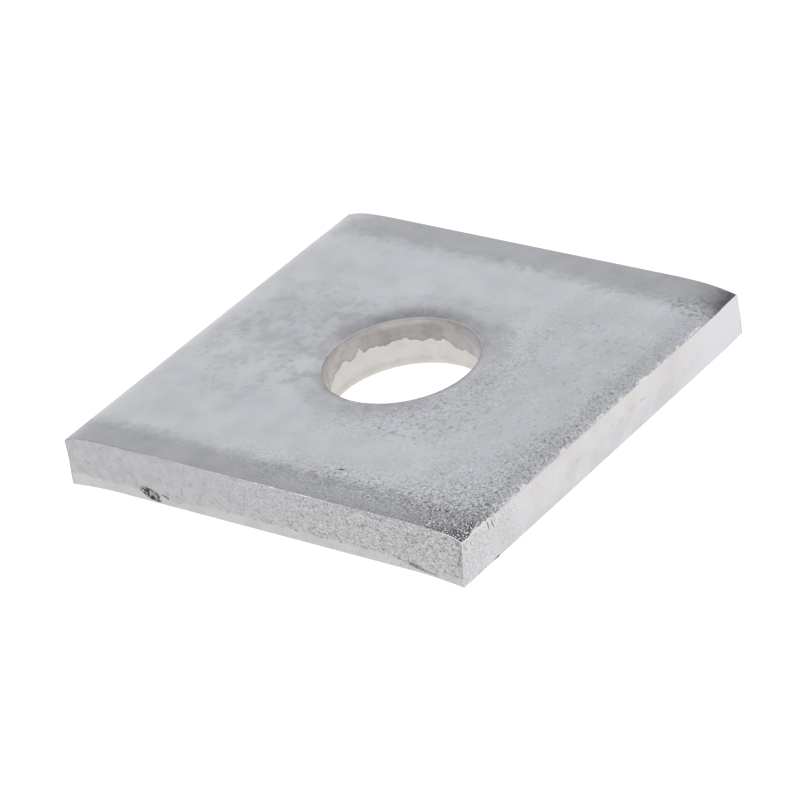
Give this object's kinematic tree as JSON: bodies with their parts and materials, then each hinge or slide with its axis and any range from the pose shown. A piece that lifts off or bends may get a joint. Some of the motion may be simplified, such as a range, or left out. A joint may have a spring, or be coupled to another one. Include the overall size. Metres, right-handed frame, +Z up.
{
  "type": "bracket plate",
  "caption": "Near-square thick steel plate cropped from flat bar, with a punched bolt hole through its middle and ends that the crop has bent slightly down.",
  "frame": {"origin": "on the surface that the plate lies on, under the middle of its overall length and width", "axes": "+X along the flat bar that the plate was cropped from, +Y across that bar, +Z up out of the punched side of the hole"},
  "size_m": [0.042, 0.04, 0.0054],
  "materials": {
    "plate": "bare pickled mill finish with a fine pebble grain, satin sheared edges"
  },
  "bodies": {
    "root": {"plate": "plate"}
  },
  "joints": []
}
